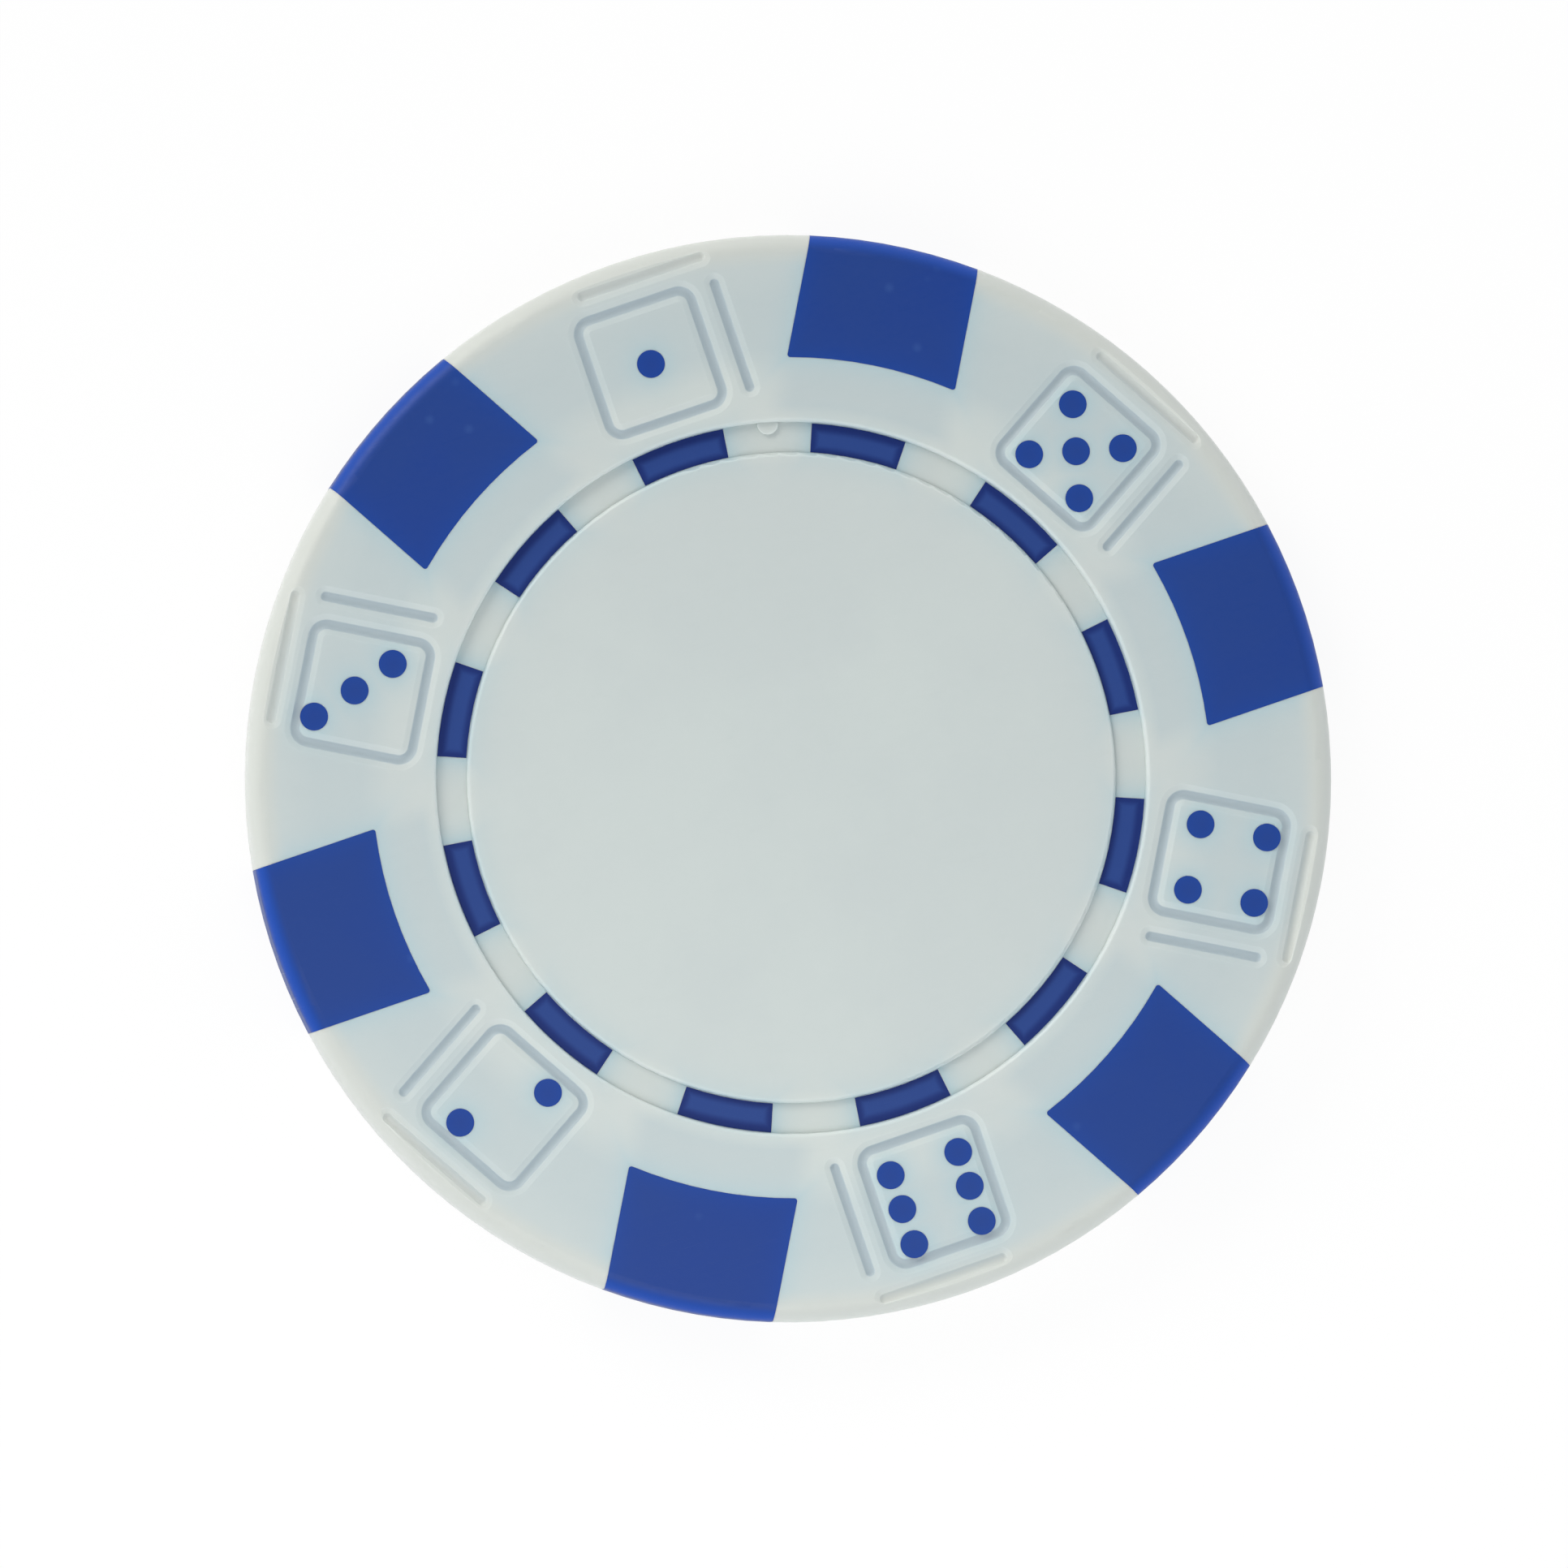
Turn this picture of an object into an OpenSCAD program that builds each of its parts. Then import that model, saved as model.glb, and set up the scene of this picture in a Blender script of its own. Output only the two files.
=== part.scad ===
// Poker chip in the dice pattern, of the kind that takes a stick-on label in the middle of each face.
// A punched steel slug sits in a blue moulded core, and the white body is moulded round both. The core
// reaches the surface as the edge spots, the dashes in the ring groove and the pips of the die faces.
// Lengths are in millimetres. The origin is the middle of the underside, +Z points out of the front,
// and the first edge spot is centred on +X. The back is the front turned over about the X axis.

/* [Chip] */
// Diameter of the chip
chip_d = 39; // [37:0.1:48]
// Thickness from face to face
chip_t = 3.3; // [2.8:0.05:4.5]
// Rounding of the rim into each face
rim_r = 0.65; // [0.2:0.05:1]
// Lean of the rim's wall from the parting line towards each face, in degrees
rim_draft = 1.5; // [0:0.5:5]

/* [Ring groove and label seat] */
// Width of the band between the groove and the rim
band_w = 6.76; // [6.6:0.01:8]
// Width of the groove's flat floor
groove_w = 1.08; // [0.7:0.01:1.6]
// Depth of the groove's floor below the band
groove_depth = 0.35; // [0.2:0.01:0.5]
// Lean of the groove's walls from upright, in degrees
groove_draft = 4; // [2:1:30]
// Rounding of the groove's two edges
groove_edge_r = 0.14; // [0.05:0.01:0.25]
// Depth of the label seat below the band
seat_depth = 0.1; // [0.04:0.01:0.15]

/* [Edge spots and dashes] */
// Number of edge spots, with a die face after each
spot_count = 6; // [3:1:6]
// Width of an edge spot
spot_w = 6.15; // [3:0.05:6.5]
// Length of an edge spot from the rim inwards
spot_len = 4.45; // [2.5:0.05:5.5]
// Rounding of an edge spot's inner corners
spot_corner_r = 0.1; // [0.1:0.05:0.6]
// Length of a dash along the middle of the groove
dash_len = 3.3; // [1.5:0.05:5]
// White left between a dash and the foot of each groove wall
dash_margin = 0.02; // [0.01:0.01:0.2]

/* [Die faces] */
// Side of a die's outline, between the middles of its lines
die_w = 4.27; // [3:0.01:4.6]
// Rounding of the outline's corners
die_corner_r = 0.5; // [0.45:0.05:1]
// Width of a line's round bottom, between its lips
line_w = 0.36; // [0.2:0.01:0.4]
// Depth of a line
line_depth = 0.15; // [0.08:0.01:0.2]
// Width of the lip that slopes from the face into each side of a line
lip_w = 0.2; // [0.05:0.01:0.22]
// Depth to which the lips slope
lip_depth = 0.06; // [0.02:0.01:0.07]
// Step from the outline to the edge line on the rim side
outer_gap = 0.9; // [0.5:0.05:1.1]
// Step from the outline to the edge line on the clockwise side
side_gap = 0.96; // [0.5:0.05:1.2]
// How much the outer edge line stops short of the outline's far corner
outer_short = 0.4; // [0:0.05:1]
// Diameter of a pip
pip_d = 1; // [0.6:0.05:1.1]

/* [Inside] */
// White over each face of the slug, under the label seat
skin_t = 0.4; // [0.2:0.05:0.8]
// White over the core's hub, under the groove's floor
groove_skin_t = 0.5; // [0.3:0.05:0.8]
// White over the core's web, under the band
band_skin_t = 1.05; // [0.7:0.05:1.3]
// White between the core's web and the rim
rim_wall = 1.5; // [0.8:0.05:2]
// How far the hub reaches out past the groove's floor
hub_cover = 0.5; // [0.2:0.05:1]
// How far the slug stays inside the groove's floor
slug_inset = 0.3; // [0.1:0.05:2]
// Rounding of the slug's edges
slug_edge_r = 0.25; // [0.1:0.05:0.5]
// Diameter of the holes that let the white flow through the web
flow_d = 1.8; // [0.8:0.1:2.4]

/* [Gate stub] */
// Diameter of the stub where the white was injected
gate_d = 0.75; // [0.5:0.05:1.2]
// How far the stub was sheared off below the band
gate_sink = 0.22; // [0.02:0.01:0.3]
// Step from the foot of the groove's outer wall in to the middle of the stub
gate_inset = 0.05; // [0:0.05:0.5]

/* [Hidden] */
$fn = 96;

// How far a cut, or a column that a face trims, runs past that face
overrun = 0.5;

// Faces of the dice in counter-clockwise order, the first one after the spot on +X
die_order = [5, 1, 3, 2, 6, 4];
// Places of the pips for one to six, outwards and counter-clockwise from the middle, in sides of the die
pip_shares = [
    [[-0.01, 0]],
    [[0.34, -0.2], [-0.33, 0.19]],
    [[-0.2, -0.28], [0.07, 0], [0.36, 0.28]],
    [for (u = [-0.22, 0.35], v = [-0.28, 0.28]) [u, v]],
    [[-0.03, 0], for (u = [-0.31, 0.25], v = [-0.28, 0.28]) [u, v]],
    [for (u = [-0.25, 0.05, 0.36], v = [-0.3, 0.3]) [u, v]]
];
// The gate stub stands in the gap after this many dashes
gate_gap = 2;

// Angles between neighbours
spot_pitch = 360 / spot_count;
dash_pitch = spot_pitch / 2;

// Radii from the middle of the chip
chip_r = chip_d / 2;
web_r = chip_r - rim_wall;
spot_in_r = chip_r - spot_len;
groove_out_r = chip_r - band_w;
groove_in_r = groove_out_r - groove_w;
groove_mid_r = (groove_in_r + groove_out_r) / 2;
hub_r = groove_out_r + hub_cover;
slug_r = groove_in_r - slug_inset;
// A die and its outer edge line stand together in the middle of the band
die_r = groove_out_r + (band_w - outer_gap) / 2;

// Heights above the underside
mid_z = chip_t / 2;
seat_z = chip_t - seat_depth;
floor_z = chip_t - groove_depth;

// Thicknesses of the inner pieces
slug_t = chip_t - 2 * (seat_depth + skin_t);
hub_t = chip_t - 2 * (groove_depth + groove_skin_t);
web_t = chip_t - 2 * band_skin_t;

// Angle that a dash spans
dash_angle = dash_len / groove_mid_r * 180 / PI;
// Flow holes stand halfway between the side of a spot and the side of the die beside it
flow_angle = (asin(spot_w / 2 / die_r) + spot_pitch / 2 - asin(die_w / 2 / die_r)) / 2;

// Centre of the rim's rounding under the front face, and the step from there to where it leaves the wall
rim_edge = [
    chip_r - (mid_z - rim_r) * tan(rim_draft) - rim_r / cos(rim_draft),
    chip_t - rim_r
];
rim_step = rim_r * [cos(rim_draft), sin(rim_draft)];

// A groove edge's rounding is no larger than the lower of the two walls
edge_r = min(groove_edge_r, groove_depth - seat_depth);
// Level distance from the foot of a groove wall to the centre of its edge's rounding, under a face at z
function edge_run(z) = (z - floor_z - edge_r) * tan(groove_draft) + edge_r / cos(groove_draft);
in_edge = [groove_in_r - edge_run(seat_z), seat_z - edge_r];
out_edge = [groove_out_r + edge_run(chip_t), chip_t - edge_r];
// Steps from those centres to the points where the rounding leaves the wall
in_step = edge_r * [cos(groove_draft), sin(groove_draft)];
out_step = edge_r * [-cos(groove_draft), sin(groove_draft)];

// The bottom of a line is round to this radius, about a middle that runs this high over the face
line_rise = line_depth - lip_depth;
line_r = (pow(line_w / 2, 2) + pow(line_rise, 2)) / (2 * line_rise);
line_z = line_r - line_depth;
// A line's cutter stands out over the face by this share of the lips' depth, and is that much wider
over_share = 1 / 4;
cutter_top = lip_depth * over_share;
cutter_half = line_w / 2 + lip_w * (1 + over_share);

// Centre of the rounding at a spot's inner corner
corner_y = spot_w / 2 - spot_corner_r;
corner_x = sqrt(pow(spot_in_r + spot_corner_r, 2) - pow(corner_y, 2));

// Puts its children on the front, and again on the back as the chip is turned over about the X axis.
module on_both_faces() {
    children();
    translate([0, 0, chip_t]) rotate([180, 0, 0]) children();
}

// Puts its children at each die, with X outwards, Y counter-clockwise and zero height at the front face.
// $value is the number of pips that the die shows.
module at_each_die() {
    for (k = [0 : spot_count - 1]) {
        $value = die_order[k];
        rotate((k + 1 / 2) * spot_pitch) translate([die_r, 0, chip_t]) children();
    }
}

// The same height on the other face.
function turned(p) = [p.x, chip_t - p.y];

// Half section of the plain chip. Its wall is widest at the parting line, and both edges are rounded.
module rim_section() {
    polygon([
        [0, 0], [rim_edge.x, 0], turned(rim_edge), turned(rim_edge + rim_step), [chip_r, mid_z],
        rim_edge + rim_step, rim_edge, [rim_edge.x, chip_t], [0, chip_t]
    ]);
    for (centre = [rim_edge, turned(rim_edge)]) translate(centre) circle(rim_r);
}

// Half section of what is hollowed out of the front: the label seat and the ring groove round it.
module recess_section() {
    difference() {
        polygon([
            [0, chip_t + overrun], [0, seat_z], [in_edge.x, seat_z], in_edge,
            in_edge + in_step, [groove_in_r, floor_z], [groove_out_r, floor_z], out_edge + out_step,
            out_edge, [out_edge.x, chip_t + overrun]
        ]);
        translate(in_edge) circle(edge_r);
        translate(out_edge) circle(edge_r);
    }
}

// The outside of the finished chip, without the lines of the dice.
module chip_form() {
    rotate_extrude() difference() {
        rim_section();
        recess_section();
        translate([0, chip_t]) mirror([0, 1]) recess_section();
    }
}

// The steel weight, with edges rounded by tumbling.
module slug_form() {
    translate([0, 0, mid_z - slug_t / 2]) rotate_extrude() {
        square([slug_r - slug_edge_r, slug_t]);
        translate([0, slug_edge_r]) square([slug_r, slug_t - 2 * slug_edge_r]);
        for (z = [slug_edge_r, slug_t - slug_edge_r])
            translate([slug_r - slug_edge_r, z]) circle(slug_edge_r);
    }
}

// Plan of the sharp tip that is rounded off one inner corner of a spot.
module spot_tip() {
    difference() {
        polygon([
            [corner_x, corner_y], [corner_x, spot_w / 2], [spot_in_r, spot_w / 2 + overrun],
            [spot_in_r - overrun, spot_w / 2], [corner_x, corner_y] * spot_in_r / (spot_in_r + spot_corner_r)
        ]);
        translate([corner_x, corner_y]) circle(spot_corner_r);
    }
}

// The edge spots as blocks that run out past the rim and both faces.
module spot_blocks() {
    for (k = [0 : spot_count - 1]) rotate(k * spot_pitch)
        translate([0, 0, -overrun]) linear_extrude(chip_t + 2 * overrun) difference() {
            translate([0, -spot_w / 2]) square([chip_r + overrun, spot_w]);
            circle(spot_in_r);
            spot_tip();
            mirror([0, 1]) spot_tip();
        }
}

// The dashes of the front as columns, from the middle of the chip up past the groove's floor.
module dash_columns() {
    for (k = [0 : 2 * spot_count - 1]) rotate(k * dash_pitch - dash_angle / 2)
        translate([0, 0, mid_z]) rotate_extrude(angle = dash_angle)
            translate([groove_in_r + dash_margin, 0])
                square([groove_w - 2 * dash_margin, chip_t - mid_z + overrun]);
}

// The pips of the front as columns, from the middle of the chip up past the face.
module pip_columns() {
    at_each_die()
        for (place = pip_shares[$value - 1]) translate([die_w * place.x, die_w * place.y, mid_z - chip_t])
            cylinder(h = chip_t - mid_z + overrun, d = pip_d);
}

// The web in the middle of the thickness, with the holes that the white flows through.
module core_web() {
    difference() {
        translate([0, 0, mid_z]) cylinder(h = web_t, r = web_r, center = true);
        for (k = [0 : spot_count - 1], side = [-1, 1]) rotate(k * spot_pitch + side * flow_angle)
            translate([die_r, 0, -overrun]) cylinder(h = chip_t + 2 * overrun, d = flow_d);
    }
}

// Everything blue, before the outside of the chip trims it and the slug takes its place in the hub.
module core_form() {
    core_web();
    translate([0, 0, mid_z]) cylinder(h = hub_t, r = hub_r, center = true);
    spot_blocks();
    on_both_faces() {
        dash_columns();
        pip_columns();
    }
}

// Section of what cuts a line, from zero height at the face: a round bottom between two sloping lips.
module line_section() {
    polygon([
        [-cutter_half, cutter_top], [-line_w / 2, -lip_depth],
        [line_w / 2, -lip_depth], [cutter_half, cutter_top]
    ]);
    translate([0, line_z]) circle(line_r);
}

// A straight line along Y, centred at zero height on the face.
module straight_line(length) {
    rotate([90, 0, 0]) linear_extrude(length, center = true) line_section();
}

// The closed outline of a die: four straight sides and four rounded corners.
module die_outline() {
    corner = die_w / 2 - die_corner_r;
    for (k = [0 : 3]) rotate(90 * k) {
        translate([die_w / 2, 0, 0]) straight_line(2 * corner);
        translate([corner, corner, 0]) rotate_extrude(angle = 90)
            translate([die_corner_r, 0]) line_section();
    }
}

// A loose line along Y with round ends, measured between the ends of its round bottom.
module loose_line(length) {
    straight = length - line_w;
    straight_line(straight);
    for (turn = [0, 180]) rotate(turn) translate([0, straight / 2, 0])
        rotate_extrude(angle = 180) intersection() {
            line_section();
            translate([0, -chip_t]) square(2 * chip_t);
        }
}

// The two loose lines that hint at the die's depth: one on its clockwise side, one towards the rim.
module edge_lines() {
    outer_len = die_w + side_gap - outer_short;
    translate([0, -die_w / 2 - side_gap, 0]) rotate(90) loose_line(die_w);
    translate([die_w / 2 + outer_gap, -die_w / 2 - side_gap + outer_len / 2, 0]) loose_line(outer_len);
}

// The stub that the gate left against the outer wall of the front's groove.
module gate_stub() {
    rotate((gate_gap + 1 / 2) * dash_pitch) translate([groove_out_r - gate_inset, 0, mid_z])
        cylinder(h = chip_t - gate_sink - mid_z, d = gate_d);
}

module steel_slug() {
    color("#8f9398") slug_form();
}

module insert_core() {
    color("#2f4990") difference() {
        intersection() {
            chip_form();
            core_form();
        }
        slug_form();
    }
}

module chip_body() {
    color("#cad3d2") difference() {
        union() {
            chip_form();
            gate_stub();
        }
        core_form();
        slug_form();
        on_both_faces() at_each_die() {
            die_outline();
            edge_lines();
        }
    }
}

steel_slug();
insert_core();
chip_body();
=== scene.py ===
"""Looks of a poker chip in the dice pattern: white ABS moulded round a blue core and a steel slug.

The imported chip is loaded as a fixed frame. The operators give each piece its finish and set up the
table, the lamps and the camera. Lengths are in metres, and main() calls the operators in order.
"""

import math

import bmesh
import bpy
from mathutils import Matrix, Vector


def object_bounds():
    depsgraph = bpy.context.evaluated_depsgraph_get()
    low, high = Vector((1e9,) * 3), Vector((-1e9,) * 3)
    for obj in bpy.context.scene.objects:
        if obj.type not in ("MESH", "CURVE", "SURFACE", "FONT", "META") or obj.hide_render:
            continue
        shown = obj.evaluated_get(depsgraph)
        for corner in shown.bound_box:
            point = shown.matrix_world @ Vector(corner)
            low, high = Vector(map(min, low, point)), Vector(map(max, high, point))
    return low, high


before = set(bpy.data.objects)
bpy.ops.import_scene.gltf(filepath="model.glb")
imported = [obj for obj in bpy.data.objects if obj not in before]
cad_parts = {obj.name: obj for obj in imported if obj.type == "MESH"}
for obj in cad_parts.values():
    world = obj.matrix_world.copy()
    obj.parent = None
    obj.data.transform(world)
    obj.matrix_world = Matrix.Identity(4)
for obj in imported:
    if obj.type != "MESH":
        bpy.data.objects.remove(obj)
CAD_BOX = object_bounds()

bl_info = {
    "name": "Poker Chip Looks",
    "version": (1, 0, 0),
    "blender": (4, 5, 0),
    "location": "3D View > Sidebar > Poker Chip",
    "description": "Gives a moulded poker chip its finishes, a table and soft light",
    "category": "Object",
}

MM = 0.001

# Sizes that the frame gives: the chip's radius, its thickness and the middle of that.
CHIP_RADIUS = CAD_BOX[1].x
CHIP_THICKNESS = CAD_BOX[1].z
MID_HEIGHT = CHIP_THICKNESS / 2

# Points closer than this are one, and a face whose normal rises this far lies flat.
TOUCH = 0.001 * MM
FLAT_RISE = 0.999


def linear(hex_colour):
    """The scene-linear RGBA of an sRGB hex colour."""
    shares = [int(hex_colour[i:i + 2], 16) / 255 for i in (1, 3, 5)]
    return [s / 12.92 if s <= 0.04045 else ((s + 0.055) / 1.055) ** 2.4 for s in shares] + [1.0]


def colour_property(name, description, hex_colour):
    """A colour that the user can change, whose default is an sRGB hex colour."""
    return bpy.props.FloatVectorProperty(
        name=name, description=description, subtype="COLOR", size=4, min=0, max=1,
        default=linear(hex_colour),
    )


def length_property(name, description, millimetres):
    """A length that the user can change, whose default is given in millimetres."""
    return bpy.props.FloatProperty(
        name=name, description=description, unit="LENGTH", precision=5, min=0, default=millimetres * MM
    )


def angle_property(name, description, degrees):
    """An angle that the user can change, whose default is given in degrees."""
    return bpy.props.FloatProperty(
        name=name, description=description, subtype="ANGLE", default=math.radians(degrees)
    )


def share_property(name, description, share):
    """A share that the user can change."""
    return bpy.props.FloatProperty(
        name=name, description=description, subtype="FACTOR", min=0, default=share
    )


class ChipFinish(bpy.types.PropertyGroup):
    """Colours of the chip's materials and the real sizes of their patterns."""

    white: colour_property("White", "Colour of the white body", "#D3DAD7")
    white_dull: colour_property("Dull white", "The white where the melt cooled first", "#D0D7D5")
    show_through: colour_property("Show-through", "The white with the core close under it", "#C2CED0")
    bleed_white: colour_property("Bleed", "The white right beside the blue", "#BACFD4")
    # Painted shade: the white is painted darker at the bottom of the engraved lines, where shade falls.
    line_bottom_shade: colour_property("Dust", "The white at the bottom of an engraved line", "#B4C2C8")
    # Painted light: the rim's rounding is painted warmer, for the warm light that it catches.
    rim_warm_light: colour_property("Worn rim", "The white where fingers have rubbed the rim", "#D1D5D0")
    speck: colour_property("Speck", "A burnt speck in the white", "#A39684")
    blue: colour_property("Blue", "Colour of the blue core", "#193D8B")
    blue_dull: colour_property("Dull blue", "The blue where the melt cooled first", "#1D3F88")
    # Painted sheen: the dashes are painted a paler, greyer blue than the spots.
    blue_dash_sheen: colour_property("Dusty blue", "The blue on the dusty floor of the groove", "#254388")
    # Painted shade: the dashes are painted darker along the groove's walls, where shade falls.
    groove_wall_shade: colour_property("Groove dirt", "The dirty blue beside the groove's walls", "#0F2A70")
    blue_lit: colour_property("Lit blue", "The blue where light reaches it through an edge", "#0044A8")
    fleck: colour_property("Fleck", "A pale fleck of scuffed blue", "#3A5C9E")
    steel: colour_property("Steel", "Colour of the steel slug", "#A6A8AA")
    steel_dark: colour_property("Dark steel", "Steel in the pits that tumbling didn't reach", "#6E6C69")

    scatter: length_property("Scatter", "How far light spreads under the white surface", 0.15)
    bleed: length_property("Bleed", "How far the blue tints the white beside it", 0.4)
    # The two depths below bound the painted shade at the bottom of the engraved lines.
    line_lip: length_property("Line lip", "Depth above which the engraved lines hold no dust", 0.05)
    line_shade_depth: length_property("Dust depth", "Depth below which the engraved lines are fully dusty", 0.1)
    # How far in the painted shade along a dash's edges reaches.
    edge_shade_reach: length_property("Dirt reach", "How far dirt reaches in from the edge of a dash", 0.42)
    rim_corner: length_property("Rim corner", "Rounding of the rim, where light reaches the spots", 0.65)
    cloud: length_property("Cloud", "Width of the clouds where the melt flowed unevenly", 7)
    # The real grain is finer, and is drawn as coarse as it needs to show.
    grain: length_property("Grain", "Width of the mould's spark-eroded grain", 0.22)
    grain_height: length_property("Grain height", "Height of the mould's grain", 0.0025)
    scuff: length_property("Scuff", "Width of a hairline scuff", 0.06)
    scuff_length: length_property("Scuff length", "Length of a hairline scuff", 3)
    speck_spacing: length_property("Speck spacing", "Usual distance from one speck to the next", 3.4)
    speck_size: length_property("Speck size", "Width of a speck", 0.16)
    fleck_spacing: length_property("Fleck spacing", "Usual distance from one fleck to the next", 1.6)
    fleck_size: length_property("Fleck size", "Width of a fleck", 0.5)


class ChipStage(bpy.types.PropertyGroup):
    """The camera over the chip, and the light round it."""

    view_width: length_property("View width", "Width of the picture at the chip's face", 56.08)
    camera_distance: length_property("Camera distance", "From the chip's face to the camera", 500)
    aim_left: length_property("Aim left", "Middle of the picture, left of the chip's middle", 0.3)
    aim_down: length_property("Aim down", "Middle of the picture, below the chip's middle", 0.24)
    camera_tilt: angle_property("Camera tilt", "Tilt of the camera from straight above", 5)
    # A side of the picture is an angle, counted from its right.
    camera_side: angle_property("Camera side", "Side of the picture that the camera leans to", 200)
    chip_turn: angle_property("Chip turn", "Turn of the first spot from the picture's right", 18.95)
    tent_side: share_property("Tent sides", "Brightness of the light tent near the table", 1.5)
    tent_top: share_property("Tent top", "Brightness of the tent where the camera looks in", 0.13)
    key_share: share_property("Key", "Light from the softbox at the upper left", 0.24)
    fill_share: share_property("Fill", "Light from the near panel low in the picture", 0.3)
    glow: share_property("Table glow", "How far the table shows as plain white", 0.92)


def add_node(tree, kind, inputs=None, output=None, **settings):
    """Adds a node and returns its output, the named one or else the first in use.

    Settings are the node's own properties. Each input, by name or by number, takes a value or another
    node's output.
    """
    node = tree.nodes.new(kind)
    for name, value in settings.items():
        setattr(node, name, value)
    for key, value in (inputs or {}).items():
        if isinstance(key, int):
            socket = node.inputs[key]
        else:
            socket = next(s for s in node.inputs if s.enabled and s.name == key)
        if isinstance(value, bpy.types.NodeSocket):
            tree.links.new(value, socket)
        else:
            socket.default_value = value
    if output:
        return node.outputs[output]
    return next((s for s in node.outputs if s.enabled), None)


def new_material(name):
    """An empty node material and its tree."""
    material = bpy.data.materials.new(name)
    material.use_nodes = True
    material.node_tree.nodes.clear()
    return material, material.node_tree


def dress(node_name, material):
    """Gives a CAD node its material."""
    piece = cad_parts[node_name]
    piece.data.materials.clear()
    piece.data.materials.append(material)


def flat_areas(piece):
    """The separate flat areas of a piece that face up, each as the list of its corners."""
    mesh = bmesh.new()
    mesh.from_mesh(piece.data)
    bmesh.ops.remove_doubles(mesh, verts=mesh.verts, dist=TOUCH)
    waiting = {face for face in mesh.faces if face.normal.z > FLAT_RISE}
    areas = []
    while waiting:
        reached = [waiting.pop()]
        corners = []
        while reached:
            face = reached.pop()
            corners += [corner.co.copy() for corner in face.verts]
            beside = {other for edge in face.edges for other in edge.link_faces} & waiting
            waiting -= beside
            reached += beside
        areas.append(corners)
    mesh.free()
    return areas


def plan_middle(corners):
    """The middle of an area's box, seen from above."""
    xs = [c.x for c in corners]
    ys = [c.y for c in corners]
    return Vector(((min(xs) + max(xs)) / 2, (min(ys) + max(ys)) / 2, 0))


class BluePlan:
    """Where the blue core reaches the front of the chip, measured on the core itself."""

    def __init__(self):
        areas = flat_areas(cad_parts["insert_core"])
        heights = sorted({round(area[0].z, 6) for area in areas})
        on_face = [area for area in areas if area[0].z > heights[-1] - TOUCH]
        on_floor = [area for area in areas if abs(area[0].z - heights[-2]) < TOUCH]
        widths = [max(c.y for c in area) - min(c.y for c in area) for area in on_face]
        pips = [area for area, width in zip(on_face, widths) if width < 2 * min(widths)]
        spots = [area for area in on_face if area not in pips]
        spot = max(spots, key=lambda area: min(c.x for c in area))
        dash = max(on_floor, key=lambda area: min(c.x for c in area))
        self.pip_middles = [plan_middle(area) for area in pips]
        self.pip_radius = min(widths) / 2
        self.spot_count = len(spots)
        self.spot_width = 2 * max(c.y for c in spot)
        self.spot_radius = min(math.hypot(c.x, c.y) for c in spot)
        self.dash_count = len(on_floor)
        self.dash_depth = CHIP_THICKNESS - heights[-2]
        self.dash_radius = (min(c.x for c in dash) + max(c.x for c in dash)) / 2
        self.dash_width = max(c.x for c in dash) - min(c.x for c in dash)
        self.dash_length = 2 * max(c.y for c in dash)


class SurfacePlace:
    """Where a point of the chip's surface lies, as outputs of nodes.

    The back is the front turned over about the X axis, so both faces share one plan.
    """

    def __init__(self, tree):
        self.point = add_node(tree, "ShaderNodeTexCoord", output="Object")
        parts = add_node(tree, "ShaderNodeSeparateXYZ", {"Vector": self.point}).node.outputs
        height = add_node(tree, "ShaderNodeMath", {0: parts["Z"], 1: MID_HEIGHT}, operation="SUBTRACT")
        side = add_node(tree, "ShaderNodeMath", {0: height}, operation="SIGN")
        y = add_node(tree, "ShaderNodeMath", {0: parts["Y"], 1: side}, operation="MULTIPLY")
        self.plan = add_node(tree, "ShaderNodeCombineXYZ", {"X": parts["X"], "Y": y})
        self.radius = add_node(tree, "ShaderNodeVectorMath", {0: self.plan}, "Value", operation="LENGTH")
        self.angle = add_node(tree, "ShaderNodeMath", {0: y, 1: parts["X"]}, operation="ARCTAN2")
        height = add_node(tree, "ShaderNodeMath", {0: height}, operation="ABSOLUTE")
        self.depth = add_node(tree, "ShaderNodeMath", {0: MID_HEIGHT, 1: height}, operation="SUBTRACT")


def folded_angle(tree, place, count):
    """The angle, folded so that each of so many equal sectors is the one on +X, and without its sign."""
    half = math.pi / count
    folded = add_node(tree, "ShaderNodeMath", {0: place.angle, 1: half, 2: -half}, operation="WRAP")
    return add_node(tree, "ShaderNodeMath", {0: folded}, operation="ABSOLUTE")


def off_spot_side(tree, place, blue):
    """How far a point lies beyond the side of the nearest spot, negative between its sides."""
    folded = folded_angle(tree, place, blue.spot_count)
    sine = add_node(tree, "ShaderNodeMath", {0: folded}, operation="SINE")
    return add_node(
        tree, "ShaderNodeMath",
        {0: sine, 1: place.radius, 2: -blue.spot_width / 2},
        operation="MULTIPLY_ADD",
    )


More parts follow.
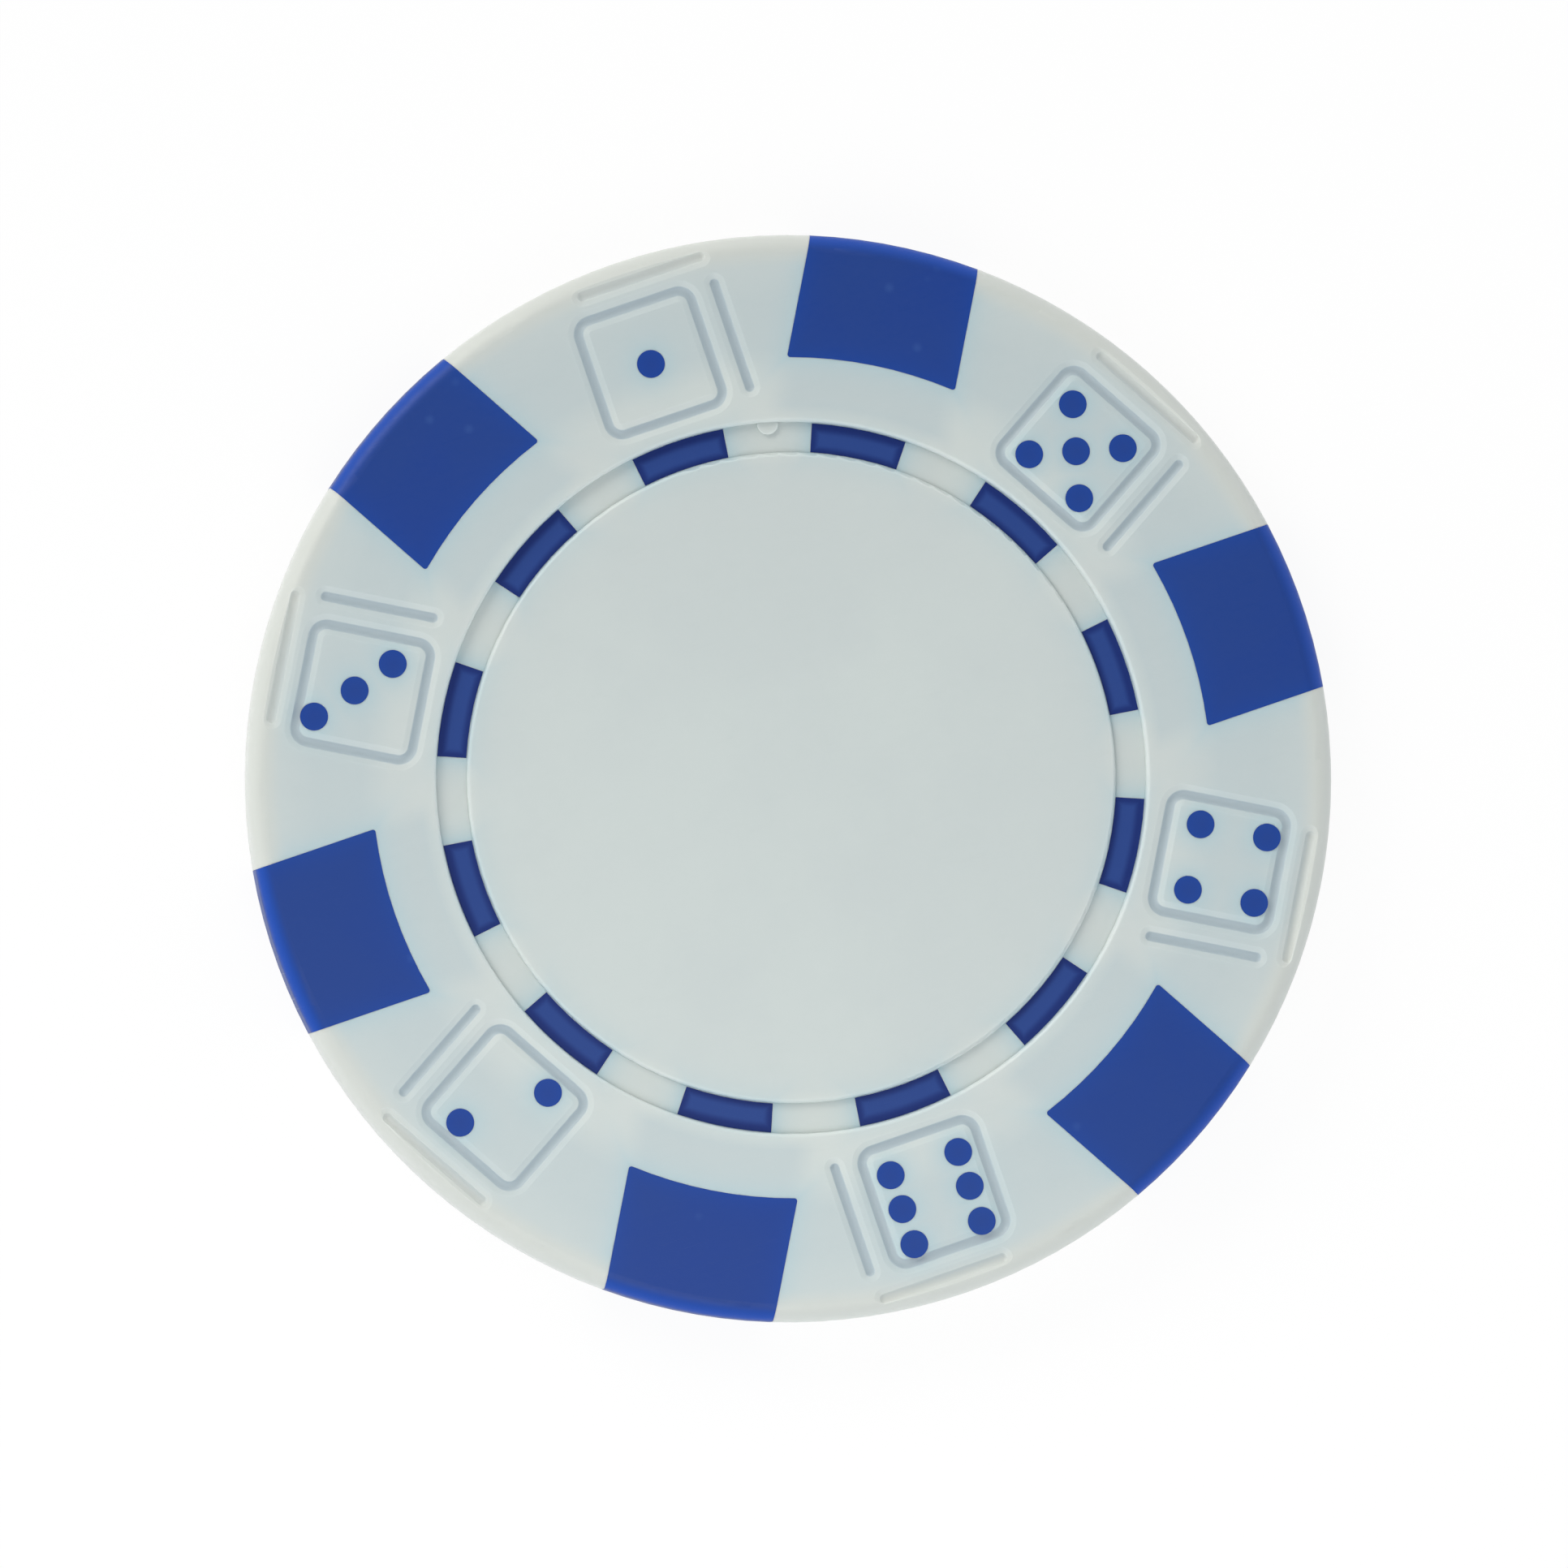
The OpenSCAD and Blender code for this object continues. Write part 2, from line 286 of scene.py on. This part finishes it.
def off_dash(tree, place, blue):
    """How far a point lies from the nearest dash, and further by its height above the groove's floor."""
    beyond_end = add_node(
        tree, "ShaderNodeMath",
        {0: folded_angle(tree, place, blue.dash_count), 1: blue.dash_radius, 2: -blue.dash_length / 2},
        operation="MULTIPLY_ADD",
    )
    off_ring = add_node(
        tree, "ShaderNodeMath", {0: place.radius, 1: blue.dash_radius}, operation="SUBTRACT"
    )
    off_ring = add_node(tree, "ShaderNodeMath", {0: off_ring}, operation="ABSOLUTE")
    off_ring = add_node(
        tree, "ShaderNodeMath", {0: off_ring, 1: blue.dash_width / 2}, operation="SUBTRACT"
    )
    level = add_node(tree, "ShaderNodeMath", {0: beyond_end, 1: off_ring}, operation="MAXIMUM")
    climb = add_node(tree, "ShaderNodeMath", {0: blue.dash_depth, 1: place.depth}, operation="SUBTRACT")
    climb = add_node(tree, "ShaderNodeMath", {0: climb, 1: 0.0}, operation="MAXIMUM")
    return add_node(tree, "ShaderNodeMath", {0: level, 1: climb}, operation="ADD")


def nearness_to_edge(tree, place, blue, finish):
    """1 where the blue and the white meet, fading to both sides as light scatters in plastic."""
    beyond_side = off_spot_side(tree, place, blue)
    inside_end = add_node(
        tree, "ShaderNodeMath", {0: blue.spot_radius, 1: place.radius}, operation="SUBTRACT"
    )
    off_spot = add_node(tree, "ShaderNodeMath", {0: beyond_side, 1: inside_end}, operation="MAXIMUM")
    nearest = add_node(
        tree, "ShaderNodeMath", {0: off_spot, 1: off_dash(tree, place, blue)}, operation="MINIMUM"
    )
    for middle in blue.pip_middles:
        reach = add_node(
            tree, "ShaderNodeVectorMath", {0: place.plan, 1: middle}, "Value", operation="DISTANCE"
        )
        off_pip = add_node(tree, "ShaderNodeMath", {0: reach, 1: blue.pip_radius}, operation="SUBTRACT")
        nearest = add_node(tree, "ShaderNodeMath", {0: nearest, 1: off_pip}, operation="MINIMUM")
    away = add_node(tree, "ShaderNodeMath", {0: nearest}, operation="ABSOLUTE")
    lengths = add_node(tree, "ShaderNodeMath", {0: away, 1: -1 / finish.bleed}, operation="MULTIPLY")
    return add_node(tree, "ShaderNodeMath", {0: lengths}, operation="EXPONENT")


# Use scuffs the plastic in a few directions, given in degrees. A scuff is where the noise passes from the
# first of these shares to the second, and it is as deep as this share of the grain.
SCUFF_TURNS = (25, 80, 145)
SCUFF_NOISE_SHARES = (0.68, 0.76)
SCUFF_DEPTH_SHARE = 0.5
# Typical of ABS, and the roughness from the bottom of a satin grain to its top.
ABS_IOR = 1.54
SATIN_ROUGHNESS = (0.36, 0.56)


def moulded_grain(tree, place, finish):
    """Roughness and normal of a satin moulded surface: the mould's grain, and hairline scuffs from use."""
    grain = add_node(
        tree, "ShaderNodeTexNoise",
        {"Vector": place, "Scale": 1 / finish.grain, "Detail": 3.0, "Roughness": 0.6},
    )
    scuffs = None
    for turn in SCUFF_TURNS:
        turned = add_node(
            tree, "ShaderNodeMapping",
            {"Vector": place, "Rotation": (0, 0, math.radians(turn)),
             "Scale": (1 / finish.scuff_length, 1 / finish.scuff, 1 / finish.scuff_length)},
        )
        streaks = add_node(tree, "ShaderNodeTexNoise", {"Vector": turned, "Scale": 1.0, "Detail": 1.0})
        lines = add_node(
            tree, "ShaderNodeMapRange",
            {"Value": streaks, "From Min": SCUFF_NOISE_SHARES[0], "From Max": SCUFF_NOISE_SHARES[1]},
            interpolation_type="SMOOTHSTEP",
        )
        if scuffs is not None:
            lines = add_node(tree, "ShaderNodeMath", {0: scuffs, 1: lines}, operation="MAXIMUM")
        scuffs = lines
    height = add_node(
        tree, "ShaderNodeMath", {0: scuffs, 1: -SCUFF_DEPTH_SHARE, 2: grain}, operation="MULTIPLY_ADD"
    )
    normal = add_node(
        tree, "ShaderNodeBump", {"Height": height, "Distance": finish.grain_height, "Strength": 1.0}
    )
    roughness = add_node(
        tree, "ShaderNodeMapRange",
        {"Value": height, "To Min": SATIN_ROUGHNESS[0], "To Max": SATIN_ROUGHNESS[1]},
    )
    return roughness, normal


# The clouds are soft: the noise passes from none to all between these shares.
CLOUD_NOISE_SHARES = (0.35, 0.65)


def melt_clouds(tree, place, finish):
    """Soft clouds, from 0 to 1, where the melt flowed and cooled unevenly."""
    clouds = add_node(
        tree, "ShaderNodeTexNoise",
        {"Vector": place, "Scale": 1 / finish.cloud, "Detail": 4.0, "Roughness": 0.55},
    )
    return add_node(
        tree, "ShaderNodeMapRange",
        {"Value": clouds, "From Min": CLOUD_NOISE_SHARES[0], "From Max": CLOUD_NOISE_SHARES[1]},
        interpolation_type="SMOOTHSTEP",
    )


# The shares of the cells that stay without a burnt speck and without a fleck, and how strongly a fleck
# shows.
SPECKLESS_SHARE = 0.9
FLECKLESS_SHARE = 0.45
FLECK_SHARE = 0.35


def scattered_specks(tree, place, spacing, width, empty_share):
    """Specks, from 0 to 1, in those of the cells that chance doesn't leave empty."""
    cells = {"Vector": place, "Scale": 1 / spacing}
    distance = add_node(tree, "ShaderNodeTexVoronoi", cells)
    chance = add_node(tree, "ShaderNodeTexVoronoi", cells, "Color")
    chance = add_node(tree, "ShaderNodeSeparateColor", {"Color": chance})
    reach = width / spacing / 2
    near = add_node(
        tree, "ShaderNodeMapRange",
        {"Value": distance, "From Min": 0.0, "From Max": reach, "To Min": 1.0, "To Max": 0.0},
        interpolation_type="SMOOTHSTEP",
    )
    chosen = add_node(tree, "ShaderNodeMath", {0: chance, 1: empty_share}, operation="GREATER_THAN")
    return add_node(tree, "ShaderNodeMath", {0: near, 1: chosen}, operation="MULTIPLY")


# How strongly the inside shows through the white, by radius in millimetres: the slug under the label
# seat, hardly anything at the groove and at the rim, and the web under the band.
SHOW_THROUGH_SHARES = (
    (11.2, 0.2), (11.45, 0.0), (13.4, 0.0), (14.4, 0.15),
    (15.4, 0.72), (17.0, 0.72), (18.4, 0.45), (18.9, 0.05),
)
RADIUS_SPAN = 20 * MM
# The blue also comes close under the white between each spot and the groove. Such a spoke fades in and out
# between these radii, and this far to both sides of the line of the spot's side.
SPOKE_SHARE = 0.72
SPOKE_START = (12.95 * MM, 13.35 * MM)
SPOKE_END = (18.0 * MM, 18.9 * MM)
SPOKE_SOFTNESS = 0.6 * MM


def show_through_share(tree, place, blue):
    """How strongly what lies under the white greys it, from 0 to 1."""
    along = add_node(tree, "ShaderNodeMath", {0: place.radius, 1: 1 / RADIUS_SPAN}, operation="MULTIPLY")
    rings = add_node(tree, "ShaderNodeValToRGB", {"Fac": along})
    ramp = rings.node.color_ramp
    while len(ramp.elements) < len(SHOW_THROUGH_SHARES):
        ramp.elements.new(1)
    for stop, (reach, share) in zip(ramp.elements, SHOW_THROUGH_SHARES):
        stop.position = reach * MM / RADIUS_SPAN
        stop.color = (share, share, share, 1)
    spoke = add_node(
        tree, "ShaderNodeMapRange",
        {"Value": off_spot_side(tree, place, blue), "From Min": -SPOKE_SOFTNESS,
         "From Max": SPOKE_SOFTNESS, "To Min": SPOKE_SHARE, "To Max": 0.0},
        interpolation_type="SMOOTHSTEP",
    )
    off_groove = add_node(
        tree, "ShaderNodeMapRange",
        {"Value": place.radius, "From Min": SPOKE_START[0], "From Max": SPOKE_START[1]},
    )
    spoke = add_node(tree, "ShaderNodeMath", {0: spoke, 1: off_groove}, operation="MULTIPLY")
    on_face = add_node(
        tree, "ShaderNodeMapRange",
        {"Value": place.radius, "From Min": SPOKE_END[0], "From Max": SPOKE_END[1],
         "To Min": 1.0, "To Max": 0.0},
    )
    spoke = add_node(tree, "ShaderNodeMath", {0: spoke, 1: on_face}, operation="MULTIPLY")
    return add_node(tree, "ShaderNodeMath", {0: rings, 1: spoke}, operation="MAXIMUM")


# The bottoms of the engraved lines of the band are painted darker, a painted shade in these recesses. The
# band starts and ends between these radii, and near the rim, where light falls in from the side, the
# painted shade fades out.
LINE_SHADE_START = (13.0 * MM, 13.1 * MM)
LINE_SHADE_END = (18.0 * MM, 19.2 * MM)


def line_bottom_shade_share(tree, place, finish):
    """How much painted shade darkens the white: fully at the bottom of the engraved lines, less of it near
    the rim.
    """
    low = add_node(
        tree, "ShaderNodeMapRange",
        {"Value": place.depth, "From Min": finish.line_lip, "From Max": finish.line_shade_depth},
    )
    on_band = add_node(
        tree, "ShaderNodeMapRange",
        {"Value": place.radius, "From Min": LINE_SHADE_START[0], "From Max": LINE_SHADE_START[1]},
    )
    off_rim = add_node(
        tree, "ShaderNodeMapRange",
        {"Value": place.radius, "From Min": LINE_SHADE_END[0], "From Max": LINE_SHADE_END[1],
         "To Min": 1.0, "To Max": 0.0},
    )
    on_band = add_node(tree, "ShaderNodeMath", {0: on_band, 1: off_rim}, operation="MULTIPLY")
    return add_node(tree, "ShaderNodeMath", {0: low, 1: on_band}, operation="MULTIPLY")


def rim_warm_light_share(tree, place, finish):
    """How far the white is painted warmer for the warm light on the rounded rim: fully on the rim, and no
    further in than its rounding.
    """
    return add_node(
        tree, "ShaderNodeMapRange",
        {"Value": place.radius, "From Min": CHIP_RADIUS - 2 * finish.rim_corner,
         "From Max": CHIP_RADIUS - finish.rim_corner / 2},
        interpolation_type="SMOOTHSTEP",
    )


def white_abs_moulded(finish, blue):
    """White ABS from a spark-eroded mould.

    Filled with chalk and pigment it looks almost opaque and satin, but what lies close under it still
    greys and cools its colour, and the blue bleeds into it where they meet. The bottoms of its engraved
    lines are painted darker, a painted shade, and its rim warmer, a painted tint of the light it catches.
    """
    material, tree = new_material("ABS_white_moulded_satin")
    place = SurfacePlace(tree)
    clouds = melt_clouds(tree, place.point, finish)
    white = add_node(
        tree, "ShaderNodeMix",
        {"Factor": clouds, "A": finish.white, "B": finish.white_dull}, data_type="RGBA",
    )
    greyed = add_node(
        tree, "ShaderNodeMix",
        {"Factor": show_through_share(tree, place, blue), "A": white, "B": finish.show_through},
        data_type="RGBA",
    )
    cooled = add_node(
        tree, "ShaderNodeMix",
        {"Factor": nearness_to_edge(tree, place, blue, finish), "A": greyed, "B": finish.bleed_white},
        data_type="RGBA",
    )
    # Painted shade at the bottom of the engraved lines.
    line_shaded = add_node(
        tree, "ShaderNodeMix",
        {"Factor": line_bottom_shade_share(tree, place, finish), "A": cooled, "B": finish.line_bottom_shade},
        data_type="RGBA",
    )
    # Painted light: a warmer white on the rounded rim.
    toned = add_node(
        tree, "ShaderNodeMix",
        {"Factor": rim_warm_light_share(tree, place, finish), "A": line_shaded, "B": finish.rim_warm_light},
        data_type="RGBA",
    )
    specks = scattered_specks(
        tree, place.point, finish.speck_spacing, finish.speck_size, SPECKLESS_SHARE
    )
    colour = add_node(
        tree, "ShaderNodeMix", {"Factor": specks, "A": toned, "B": finish.speck}, data_type="RGBA"
    )
    roughness, normal = moulded_grain(tree, place.point, finish)
    shader = add_node(
        tree, "ShaderNodeBsdfPrincipled",
        {"Base Color": colour, "Roughness": roughness, "IOR": ABS_IOR, "Normal": normal,
         "Subsurface Weight": 1.0, "Subsurface Radius": (1.0, 1.0, 1.0),
         "Subsurface Scale": finish.scatter},
    )
    add_node(tree, "ShaderNodeOutputMaterial", {"Surface": shader})
    return material


# How strongly the blue glows beside the white, where it glows fully at the rim.
EDGE_GLOW_SHARE = 0.3


def lit_edge_share(tree, place, blue, finish):
    """How far light from the side brightens the blue: most at the rim, a little beside the white."""
    near_face = add_node(
        tree, "ShaderNodeMapRange",
        {"Value": place.depth, "From Min": finish.rim_corner / 2, "From Max": finish.rim_corner,
         "To Min": 1.0, "To Max": 0.0},
        interpolation_type="SMOOTHSTEP",
    )
    near_rim = add_node(
        tree, "ShaderNodeMapRange",
        {"Value": place.radius, "From Min": CHIP_RADIUS - finish.rim_corner,
         "From Max": CHIP_RADIUS - finish.rim_corner / 5},
        interpolation_type="SMOOTHSTEP",
    )
    corner = add_node(tree, "ShaderNodeMath", {0: near_face, 1: near_rim}, operation="MULTIPLY")
    beside_white = nearness_to_edge(tree, place, blue, finish)
    beside_white = add_node(
        tree, "ShaderNodeMath", {0: beside_white, 1: EDGE_GLOW_SHARE}, operation="MULTIPLY"
    )
    return add_node(tree, "ShaderNodeMath", {0: corner, 1: beside_white}, operation="MAXIMUM")


def on_groove_floor(tree, place, blue):
    """1 on the dashes, which lie on the floor of the groove, and 0 on the spots and the pips."""
    low = add_node(
        tree, "ShaderNodeMath", {0: place.depth, 1: blue.dash_depth / 2}, operation="GREATER_THAN"
    )
    inside = add_node(
        tree, "ShaderNodeMath", {0: place.radius, 1: blue.spot_radius}, operation="LESS_THAN"
    )
    return add_node(tree, "ShaderNodeMath", {0: low, 1: inside}, operation="MULTIPLY")


def dash_edge_shade_share(tree, place, blue, finish):
    """How much painted shade darkens a dash: fully along its edges, where the walls stand, and not in its
    middle.
    """
    return add_node(
        tree, "ShaderNodeMapRange",
        {"Value": off_dash(tree, place, blue), "From Min": -finish.edge_shade_reach,
         "From Max": -finish.edge_shade_reach / 3},
        interpolation_type="SMOOTHSTEP",
    )


def blue_abs_moulded(finish, blue):
    """Blue ABS from the same kind of mould: deep and satin.

    Light that enters through the white beside it, or through the rounded rim, makes its edges glow a
    little, and use has left soft pale flecks. The dashes are painted a paler blue, a painted sheen, and
    darker along the groove's walls, a painted shade.
    """
    material, tree = new_material("ABS_blue_moulded_satin")
    place = SurfacePlace(tree)
    clouds = melt_clouds(tree, place.point, finish)
    deep = add_node(
        tree, "ShaderNodeMix",
        {"Factor": clouds, "A": finish.blue, "B": finish.blue_dull}, data_type="RGBA",
    )
    flecks = scattered_specks(
        tree, place.point, finish.fleck_spacing, finish.fleck_size, FLECKLESS_SHARE
    )
    flecks = add_node(tree, "ShaderNodeMath", {0: flecks, 1: FLECK_SHARE}, operation="MULTIPLY")
    toned = add_node(
        tree, "ShaderNodeMix", {"Factor": flecks, "A": deep, "B": finish.fleck}, data_type="RGBA"
    )
    lit = add_node(
        tree, "ShaderNodeMix",
        {"Factor": lit_edge_share(tree, place, blue, finish), "A": toned, "B": finish.blue_lit},
        data_type="RGBA",
    )
    # The dashes are painted a paler blue, a painted sheen, and darker along their edges, a painted shade
    # beside the groove's walls.
    dash = add_node(
        tree, "ShaderNodeMix",
        {"Factor": dash_edge_shade_share(tree, place, blue, finish), "A": finish.blue_dash_sheen,
         "B": finish.groove_wall_shade},
        data_type="RGBA",
    )
    colour = add_node(
        tree, "ShaderNodeMix",
        {"Factor": on_groove_floor(tree, place, blue), "A": lit, "B": dash}, data_type="RGBA",
    )
    roughness, normal = moulded_grain(tree, place.point, finish)
    shader = add_node(
        tree, "ShaderNodeBsdfPrincipled",
        {"Base Color": colour, "Roughness": roughness, "IOR": ABS_IOR,
         "Specular IOR Level": 0.25, "Normal": normal},
    )
    add_node(tree, "ShaderNodeOutputMaterial", {"Surface": shader})
    return material


# Tumbling leaves the pits rougher than the steel that the stones reached, and dents wider than the pits.
STEEL_ROUGHNESS = (0.5, 0.32)
PITS_ACROSS_A_DENT = 4


def mild_steel_tumbled(finish):
    """Mild steel, punched and tumbled: grey and dull, with small pits and dents that the stones left."""
    material, tree = new_material("mild_steel_tumbled")
    place = add_node(tree, "ShaderNodeTexCoord", output="Object")
    pits = add_node(
        tree, "ShaderNodeTexNoise",
        {"Vector": place, "Scale": 1 / finish.grain, "Detail": 4.0, "Roughness": 0.65},
    )
    dents = add_node(
        tree, "ShaderNodeTexVoronoi",
        {"Vector": place, "Scale": 1 / (PITS_ACROSS_A_DENT * finish.grain)}, feature="SMOOTH_F1",
    )
    colour = add_node(
        tree, "ShaderNodeMix",
        {"Factor": pits, "A": finish.steel_dark, "B": finish.steel}, data_type="RGBA",
    )
    roughness = add_node(
        tree, "ShaderNodeMapRange",
        {"Value": pits, "To Min": STEEL_ROUGHNESS[0], "To Max": STEEL_ROUGHNESS[1]},
    )
    height = add_node(tree, "ShaderNodeMath", {0: dents, 1: pits}, operation="ADD")
    normal = add_node(
        tree, "ShaderNodeBump", {"Height": height, "Distance": finish.grain_height, "Strength": 1.0}
    )
    shader = add_node(
        tree, "ShaderNodeBsdfPrincipled",
        {"Base Color": colour, "Metallic": 1.0, "Roughness": roughness, "Normal": normal},
    )
    add_node(tree, "ShaderNodeOutputMaterial", {"Surface": shader})
    return material


class POKERCHIP_OT_finish_slug(bpy.types.Operator):
    """Gives the steel slug its tumbled finish"""

    bl_idname = "poker_chip.finish_slug"
    bl_label = "Finish Slug"

    def execute(self, context):
        dress("steel_slug", mild_steel_tumbled(context.scene.chip_finish))
        return {"FINISHED"}


class POKERCHIP_OT_finish_core(bpy.types.Operator):
    """Gives the core, with its edge spots, dashes and pips, its blue plastic"""

    bl_idname = "poker_chip.finish_core"
    bl_label = "Finish Core"

    def execute(self, context):
        dress("insert_core", blue_abs_moulded(context.scene.chip_finish, BluePlan()))
        return {"FINISHED"}


class POKERCHIP_OT_finish_body(bpy.types.Operator):
    """Gives the body its white plastic"""

    bl_idname = "poker_chip.finish_body"
    bl_label = "Finish Body"

    def execute(self, context):
        dress("chip_body", white_abs_moulded(context.scene.chip_finish, BluePlan()))
        return {"FINISHED"}


class POKERCHIP_OT_build_stage(bpy.types.Operator):
    """Makes the table, the light tent, the lamps and the camera"""

    bl_idname = "poker_chip.build_stage"
    bl_label = "Build Stage"

    def execute(self, context):
        scene = context.scene
        stage = scene.chip_stage
        scene.view_settings.view_transform = "Standard"
        make_table(scene, stage)
        make_tent(scene, stage)
        make_lamps(scene, stage)
        make_camera(scene, stage)
        return {"FINISHED"}


def picture_direction(stage, side, rise):
    """The direction that points to a side of the picture and rises from the table."""
    around = side - stage.chip_turn
    return Vector((math.cos(around) * math.cos(rise), math.sin(around) * math.cos(rise), math.sin(rise)))


def facing(back, up):
    """The turn of a lamp or camera that has this direction at its back and that one above it."""
    right = up.cross(back).normalized()
    return Matrix((right, back.cross(right), back)).transposed().to_4x4()


# The table reaches this far from the chip's middle.
TABLE_REACH = 0.6


def make_table(scene, stage):
    """A sheet of white paper, which shows as plain white and keeps the chip's shadow."""
    half = TABLE_REACH
    mesh = bpy.data.meshes.new("table")
    corners = [(-half, -half, 0), (half, -half, 0), (half, half, 0), (-half, half, 0)]
    mesh.from_pydata(corners, [], [(0, 1, 2, 3)])
    table = bpy.data.objects.new("table", mesh)
    scene.collection.objects.link(table)

    material, tree = new_material("paper_white_matte")
    paper = add_node(tree, "ShaderNodeBsdfDiffuse", {"Color": linear("#FFFFFF")})
    glow = add_node(tree, "ShaderNodeEmission", {"Color": linear("#FFFFFF"), "Strength": 1.0})
    path = add_node(tree, "ShaderNodeLightPath").node.outputs
    seen = path["Is Camera Ray"]
    for ray in ("Is Glossy Ray", "Is Transmission Ray"):
        seen = add_node(tree, "ShaderNodeMath", {0: seen, 1: path[ray]}, operation="MAXIMUM")
    share = add_node(tree, "ShaderNodeMath", {0: seen, 1: stage.glow}, operation="MULTIPLY")
    sheet = add_node(tree, "ShaderNodeMixShader", {0: share, 1: paper, 2: glow})
    add_node(tree, "ShaderNodeOutputMaterial", {"Surface": sheet})
    mesh.materials.append(material)


def make_tent(scene, stage):
    """A light tent: its sides are bright, and its top is dim where the camera looks in."""
    world = bpy.data.worlds.new("light_tent")
    world.use_nodes = True
    tree = world.node_tree
    tree.nodes.clear()
    direction = add_node(tree, "ShaderNodeTexCoord", output="Generated")
    rise = add_node(tree, "ShaderNodeSeparateXYZ", {"Vector": direction}).node.outputs["Z"]
    strength = add_node(
        tree, "ShaderNodeMapRange", {"Value": rise, "To Min": stage.tent_side, "To Max": stage.tent_top}
    )
    cloth = add_node(tree, "ShaderNodeBackground", {"Color": linear("#F8FBFF"), "Strength": strength})
    add_node(tree, "ShaderNodeOutputWorld", {"Surface": cloth})
    scene.world = world


def make_lamps(scene, stage):
    """A large softbox at the upper left and a near panel low in the picture."""
    target = Vector((0, 0, CHIP_THICKNESS))
    # Name, colour, side of the picture and rise in degrees, distance, width and share of the light.
    lamps = (
        ("key_softbox", "#FFF8EE", 135, 35, 1.2, 0.7, stage.key_share),
        ("fill_panel", "#FFFFFF", 260, 60, 0.1, 0.08, stage.fill_share),
    )
    for name, colour, side, rise, distance, size, share in lamps:
        back = picture_direction(stage, math.radians(side), math.radians(rise))
        lamp = bpy.data.lights.new(name, "AREA")
        lamp.color = linear(colour)[:3]
        lamp.shape = "DISK"
        lamp.size = size
        lamp.energy = share * (math.pi * distance) ** 2 / back.z
        piece = bpy.data.objects.new(name, lamp)
        piece.matrix_world = Matrix.Translation(target + distance * back) @ facing(back, Vector((0, 0, 1)))
        piece.visible_camera = False
        scene.collection.objects.link(piece)


def make_camera(scene, stage):
    """A long lens almost straight above the chip."""
    camera = bpy.data.cameras.new("camera")
    camera.sensor_width = 36
    camera.lens = camera.sensor_width * stage.camera_distance / stage.view_width
    back = picture_direction(stage, stage.camera_side, math.pi / 2 - stage.camera_tilt)
    right = picture_direction(stage, 0, 0)
    up = picture_direction(stage, math.pi / 2, 0)
    aim = Vector((0, 0, CHIP_THICKNESS)) - stage.aim_left * right - stage.aim_down * up
    piece = bpy.data.objects.new("camera", camera)
    piece.matrix_world = Matrix.Translation(aim + stage.camera_distance * back) @ facing(back, up)
    scene.collection.objects.link(piece)
    scene.camera = piece


class POKERCHIP_PT_looks(bpy.types.Panel):
    """Lists the steps and what a user would change"""

    bl_label = "Poker Chip"
    bl_idname = "POKERCHIP_PT_looks"
    bl_space_type = "VIEW_3D"
    bl_region_type = "UI"
    bl_category = "Poker Chip"

    def draw(self, context):
        for operator in OPERATORS:
            self.layout.operator(operator.bl_idname)
        for group in (context.scene.chip_finish, context.scene.chip_stage):
            column = self.layout.column()
            for name in group.__annotations__:
                column.prop(group, name)


OPERATORS = (
    POKERCHIP_OT_finish_slug,
    POKERCHIP_OT_finish_core,
    POKERCHIP_OT_finish_body,
    POKERCHIP_OT_build_stage,
)
CLASSES = (ChipFinish, ChipStage, *OPERATORS, POKERCHIP_PT_looks)


def register():
    for cls in CLASSES:
        bpy.utils.register_class(cls)
    bpy.types.Scene.chip_finish = bpy.props.PointerProperty(type=ChipFinish)
    bpy.types.Scene.chip_stage = bpy.props.PointerProperty(type=ChipStage)


def unregister():
    del bpy.types.Scene.chip_stage
    del bpy.types.Scene.chip_finish
    for cls in reversed(CLASSES):
        bpy.utils.unregister_class(cls)


def main():
    """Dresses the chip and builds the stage."""
    register()
    bpy.ops.poker_chip.finish_slug()
    bpy.ops.poker_chip.finish_core()
    bpy.ops.poker_chip.finish_body()
    bpy.ops.poker_chip.build_stage()


if __name__ == "__main__":
    main()
